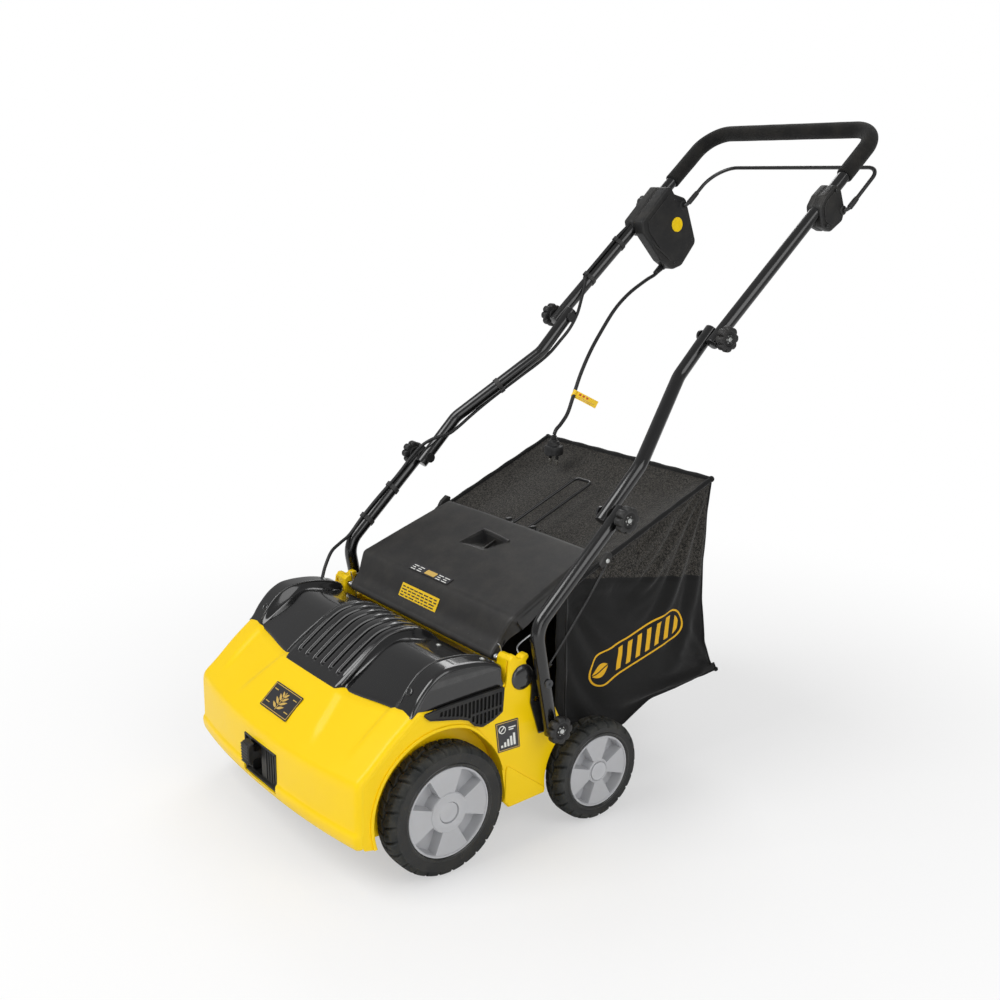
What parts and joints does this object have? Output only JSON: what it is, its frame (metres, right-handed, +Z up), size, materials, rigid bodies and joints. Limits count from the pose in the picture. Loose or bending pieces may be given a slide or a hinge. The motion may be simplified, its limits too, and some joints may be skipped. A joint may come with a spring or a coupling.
{
  "type": "lawn dethatcher",
  "caption": "Electric lawn dethatcher with a wheeled deck, belt-driven bladed rotor, rear deflector flap, folding tubular handle and a detachable fabric collection bag.",
  "frame": {"origin": "on the ground under the middle of the machine's overall box", "axes": "+X across to the side without the switch box, +Y from the nose to the handle, +Z up"},
  "size_m": [0.596, 1.17, 1.0771],
  "materials": {
    "yellow_shell": "glossy",
    "black_gloss": "glossy",
    "black_matte": "satin",
    "flap_black": "matte",
    "grey_plastic": "satin",
    "tyre": "matte",
    "tube_black": "glossy",
    "steel": "satin",
    "zinc": "bright zinc",
    "cast": "as cast",
    "foam": "foam, matte",
    "bag_fabric": "woven",
    "belt_rubber": "matte",
    "button_grey": "satin",
    "cord": "satin",
    "brass_pins": "polished"
  },
  "bodies": {
    "deck": {"hood": "yellow_shell", "depth_gate": "black_matte", "top_cover": "black_gloss", "cover_screws": "zinc", "side_vents": "black_matte", "chassis": "cast", "rotor_bearings": "steel", "motor_housing": "steel", "belt_cover": "black_matte", "drive_belt": "belt_rubber", "rear_axle": "zinc", "flap_hinge_rod": "zinc", "flap_springs": "zinc", "handle_brackets": "steel", "lower_tubes": "tube_black", "deck_bolts": "zinc", "tube_rivets": "zinc", "lower_joint_bolts": "zinc", "motor_cable": "cord"},
    "front_crank": {"front_axle": "zinc", "depth_lever": "black_matte"},
    "front_wheel_right": {"front_tyre_right": "tyre", "front_rim_right": "grey_plastic"},
    "front_wheel_left": {"front_tyre_left": "tyre", "front_rim_left": "grey_plastic"},
    "rear_wheel_right": {"rear_tyre_right": "tyre", "rear_rim_right": "grey_plastic"},
    "rear_wheel_left": {"rear_tyre_left": "tyre", "rear_rim_left": "grey_plastic"},
    "rotor": {"rotor_shaft": "steel", "thatch_blades": "steel", "blade_spacers": "black_matte", "rotor_pulley": "cast"},
    "motor_rotor": {"motor_armature": "steel", "cooling_fan": "black_matte", "motor_pulley": "steel"},
    "flap": {"rear_flap": "flap_black"},
    "middle_handle": {"middle_tubes": "tube_black", "upper_joint_bolts": "zinc"},
    "upper_handle": {"upper_tube": "tube_black", "foam_grip": "foam", "switch_box": "black_matte", "bail_clamp": "black_matte", "mains_cord": "cord", "mains_plug": "cord"},
    "bail": {"bail_lever": "tube_black"},
    "safety_button": {"lock_button": "button_grey"},
    "knob_deck_right": {"deck_knob_right": "black_matte"},
    "knob_deck_left": {"deck_knob_left": "black_matte"},
    "knob_lower_right": {"lower_knob_right": "black_matte"},
    "knob_lower_left": {"lower_knob_left": "black_matte"},
    "knob_upper_right": {"upper_knob_right": "black_matte"},
    "knob_upper_left": {"upper_knob_left": "black_matte"},
    "bag": {"collection_bag": "bag_fabric", "bag_frame": "tube_black", "handle_pivots": "black_matte"},
    "bag_loop": {"bag_handle": "tube_black"}
  },
  "joints": [
    {"name": "depth_setting", "type": "hinge", "parent": "deck", "child": "front_crank", "pos_m": [0, -0.4675, 0.112], "axis": [1, 0, 0], "range_deg": [0, 16]},
    {"name": "front_wheel_right_spin", "type": "hinge", "parent": "front_crank", "child": "front_wheel_right", "pos_m": [0.2505, -0.4075, 0.1], "axis": [1, 0, 0], "continuous": true},
    {"name": "front_wheel_left_spin", "type": "hinge", "parent": "front_crank", "child": "front_wheel_left", "pos_m": [-0.2505, -0.4075, 0.1], "axis": [1, 0, 0], "continuous": true},
    {"name": "rear_wheel_right_spin", "type": "hinge", "parent": "deck", "child": "rear_wheel_right", "pos_m": [0.2595, -0.1271, 0.0817], "axis": [1, 0, 0], "continuous": true},
    {"name": "rear_wheel_left_spin", "type": "hinge", "parent": "deck", "child": "rear_wheel_left", "pos_m": [-0.2595, -0.1271, 0.0817], "axis": [1, 0, 0], "continuous": true},
    {"name": "rotor_spin", "type": "hinge", "parent": "deck", "child": "rotor", "pos_m": [0, -0.2875, 0.086], "axis": [1, 0, 0], "continuous": true},
    {"name": "motor_spin", "type": "hinge", "parent": "deck", "child": "motor_rotor", "pos_m": [-0.1, -0.3945, 0.199], "axis": [1, 0, 0], "continuous": true},
    {"name": "flap_open", "type": "hinge", "parent": "deck", "child": "flap", "pos_m": [0, -0.2765, 0.288], "axis": [1, 0, 0], "range_deg": [0, 65], "deforming": ["flap_springs"]},
    {"name": "middle_handle_fold", "type": "hinge", "parent": "deck", "child": "middle_handle", "pos_m": [0, -0.0935, 0.488], "axis": [1, 0, 0], "range_deg": [0, 125]},
    {"name": "upper_handle_fold", "type": "hinge", "parent": "middle_handle", "child": "upper_handle", "pos_m": [0, 0.1805, 0.7295], "axis": [1, 0, 0], "range_deg": [-100, 0]},
    {"name": "bail_pull", "type": "hinge", "parent": "upper_handle", "child": "bail", "pos_m": [0, 0.4605, 0.927], "axis": [1, 0, 0], "range_deg": [0, 5]},
    {"name": "safety_button_press", "type": "slide", "parent": "upper_handle", "child": "safety_button", "axis": [1, 0, 0], "range_m": [0, 0.005]},
    {"name": "deck_knob_right_turn", "type": "hinge", "parent": "deck", "child": "knob_deck_right", "pos_m": [0.287, -0.2195, 0.183], "axis": [1, 0, 0], "continuous": true},
    {"name": "deck_knob_left_turn", "type": "hinge", "parent": "deck", "child": "knob_deck_left", "pos_m": [-0.287, -0.2195, 0.183], "axis": [1, 0, 0], "continuous": true},
    {"name": "lower_knob_right_turn", "type": "hinge", "parent": "deck", "child": "knob_lower_right", "pos_m": [0.287, -0.0935, 0.488], "axis": [1, 0, 0], "continuous": true},
    {"name": "lower_knob_left_turn", "type": "hinge", "parent": "deck", "child": "knob_lower_left", "pos_m": [-0.287, -0.0935, 0.488], "axis": [1, 0, 0], "continuous": true},
    {"name": "upper_knob_right_turn", "type": "hinge", "parent": "middle_handle", "child": "knob_upper_right", "pos_m": [0.219, 0.1805, 0.7295], "axis": [1, 0, 0], "continuous": true},
    {"name": "upper_knob_left_turn", "type": "hinge", "parent": "middle_handle", "child": "knob_upper_left", "pos_m": [-0.219, 0.1805, 0.7295], "axis": [1, 0, 0], "continuous": true},
    {"name": "bag_remove", "type": "slide", "parent": "deck", "child": "bag", "axis": [0, 1, 0], "range_m": [0, 0.35]},
    {"name": "bag_handle_lift", "type": "hinge", "parent": "bag", "child": "bag_loop", "pos_m": [0, -0.0665, 0.409], "axis": [1, 0, 0], "range_deg": [0, 68]}
  ],
  "couplings": [
    {"joint": "motor_spin", "follows": "rotor_spin", "ratio": 2.5}
  ]
}
